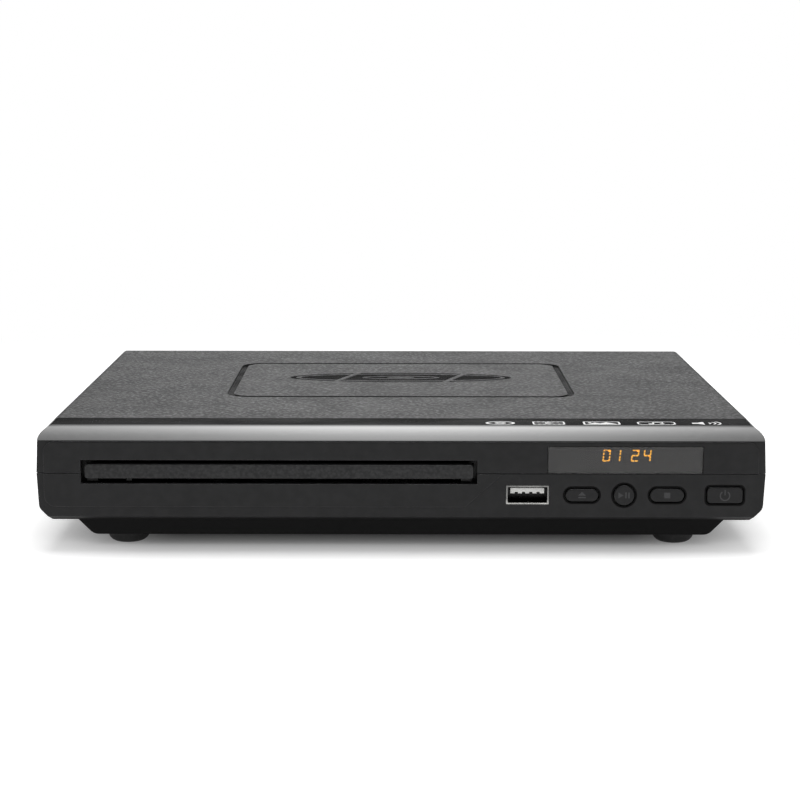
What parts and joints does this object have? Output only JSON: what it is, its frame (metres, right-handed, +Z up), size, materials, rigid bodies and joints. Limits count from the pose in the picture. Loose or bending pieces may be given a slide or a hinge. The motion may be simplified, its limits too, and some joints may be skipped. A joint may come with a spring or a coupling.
{
  "type": "dvd player with tray",
  "caption": "Compact disc player: two-part housing with a gloss front strip, motorised disc tray, display window, USB socket and push buttons, with its loader mechanism and boards inside.",
  "frame": {"origin": "on the floor under the middle of the body", "axes": "+X to the viewer's right, -Y out of the front, +Z up"},
  "size_m": [0.24, 0.2, 0.04],
  "materials": {
    "textured_black": "leather-like moulded texture",
    "satin_black": "satin",
    "gloss_black": "polished",
    "smoked": "smoked, polished",
    "rubber": "matt",
    "black_screw": "black oxide",
    "zinc_screw": "zinc plated",
    "switch_metal": "nickel plated",
    "white_plastic": "acetal",
    "green_board": "solder mask",
    "black_plastic": "moulded",
    "grey_plastic": "moulded",
    "steel": "pressed sheet",
    "bright_steel": "ground",
    "lens_glass": "clear lens in a dark holder",
    "can_sleeve": "shrink sleeve",
    "ribbon": "flat cable"
  },
  "bodies": {
    "chassis": {"top_cover": "textured_black", "bottom_tub": "satin_black", "rear_panel": "satin_black", "gloss_strip": "gloss_black", "top_motif": "gloss_black", "display_window": "smoked", "rubber_feet": "rubber", "case_screws": "black_screw", "tact_switches": "white_plastic", "front_board": "green_board", "display_module": "black_plastic", "ir_receiver": "smoked", "usb_shell": "switch_metal", "usb_tongue": "white_plastic", "drive_belt": "rubber", "loading_motor": "steel", "loader_frame": "black_plastic", "loader_rail_left": "black_plastic", "loader_rail_right": "black_plastic", "loader_crossbar": "black_plastic", "loader_screws": "zinc_screw", "clamp_bridge": "steel", "main_board": "green_board", "board_chips": "black_plastic", "main_capacitors": "can_sleeve", "board_screws": "zinc_screw", "av_jacks": "black_plastic", "hdmi_port": "switch_metal", "power_board": "green_board", "transformer": "black_plastic", "power_capacitors": "can_sleeve", "mains_inlet": "black_plastic", "flat_cable": "ribbon"},
    "tray": {"disc_tray": "black_plastic", "tray_door": "textured_black"},
    "drive_gear": {"drive_gear": "white_plastic"},
    "pulley_gear": {"pulley_gear": "white_plastic"},
    "motor_pulley": {"motor_pulley": "white_plastic"},
    "cam_slider": {"cam_slider": "grey_plastic"},
    "traverse": {"lift_frame": "black_plastic", "traverse_plate": "steel", "damper_grommets": "rubber", "damper_screws": "zinc_screw", "spindle_motor": "steel", "guide_rods": "bright_steel", "sled_motor": "steel"},
    "turntable": {"turntable": "grey_plastic"},
    "clamper": {"clamper_hub": "white_plastic", "clamper_yoke": "steel"},
    "sled": {"pickup_sled": "grey_plastic", "pickup_lens": "lens_glass"},
    "lead_screw": {"lead_screw": "bright_steel"},
    "eject_button": {"eject_button": "satin_black"},
    "play_button": {"play_button": "satin_black"},
    "stop_button": {"stop_button": "satin_black"},
    "power_button": {"power_button": "satin_black"}
  },
  "joints": [
    {"name": "tray_slide", "type": "slide", "parent": "chassis", "child": "tray", "axis": [0, -1, 0], "range_m": [0, 0.13195]},
    {"name": "drive_gear_spin", "type": "hinge", "parent": "chassis", "child": "drive_gear", "pos_m": [-0.0022, -0.077, 0.0193], "axis": [0, 0, 1], "range_deg": [-721, 1]},
    {"name": "pulley_gear_spin", "type": "hinge", "parent": "chassis", "child": "pulley_gear", "pos_m": [-0.0242, -0.077, 0.0211], "axis": [0, 0, 1], "range_deg": [-1, 2581]},
    {"name": "motor_pulley_spin", "type": "hinge", "parent": "chassis", "child": "motor_pulley", "pos_m": [-0.0622, -0.079, 0.0211], "axis": [0, 0, 1], "range_deg": [-1, 7432.94]},
    {"name": "cam_slide", "type": "slide", "parent": "chassis", "child": "cam_slider", "axis": [-1, 0, 0], "range_m": [0, 0.014]},
    {"name": "traverse_tilt", "type": "hinge", "parent": "chassis", "child": "traverse", "pos_m": [-0.0402, 0.042, 0.018], "axis": [-1, 0, 0], "range_deg": [-0.02, 4.28]},
    {"name": "spindle_spin", "type": "hinge", "parent": "traverse", "child": "turntable", "pos_m": [-0.0402, -0.02845, 0.02138], "axis": [0, -0.0743, 0.9972], "continuous": true},
    {"name": "clamper_spin", "type": "hinge", "parent": "chassis", "child": "clamper", "pos_m": [-0.0402, -0.028, 0.028], "axis": [0, 0, 1], "continuous": true},
    {"name": "sled_slide", "type": "slide", "parent": "traverse", "child": "sled", "axis": [0, 0.9972, 0.0743], "range_m": [0, 0.033]},
    {"name": "lead_screw_spin", "type": "hinge", "parent": "traverse", "child": "lead_screw", "pos_m": [-0.0664, -0.0135, 0.01587], "axis": [0, 0.9972, 0.0743], "range_deg": [-1, 3961]},
    {"name": "eject_button_press", "type": "slide", "parent": "chassis", "child": "eject_button", "axis": [0, 1, 0], "range_m": [0, 0.0006], "stiffness_N_per_m": 300, "springref_m": -0.0003},
    {"name": "play_button_press", "type": "slide", "parent": "chassis", "child": "play_button", "axis": [0, 1, 0], "range_m": [0, 0.0006], "stiffness_N_per_m": 300, "springref_m": -0.0003},
    {"name": "stop_button_press", "type": "slide", "parent": "chassis", "child": "stop_button", "axis": [0, 1, 0], "range_m": [0, 0.0006], "stiffness_N_per_m": 300, "springref_m": -0.0003},
    {"name": "power_button_press", "type": "slide", "parent": "chassis", "child": "power_button", "axis": [0, 1, 0], "range_m": [0, 0.0006], "stiffness_N_per_m": 300, "springref_m": -0.0003}
  ],
  "couplings": [
    {"joint": "drive_gear_spin", "follows": "tray_slide", "rad_per_m": -95.238},
    {"joint": "pulley_gear_spin", "follows": "tray_slide", "rad_per_m": 341.27},
    {"joint": "motor_pulley_spin", "follows": "tray_slide", "rad_per_m": 983.06},
    {"joint": "traverse_tilt", "follows": "cam_slide", "rad_per_m": 5.311},
    {"joint": "clamper_spin", "follows": "spindle_spin", "ratio": 1},
    {"joint": "lead_screw_spin", "follows": "sled_slide", "rad_per_m": 2094.4}
  ]
}
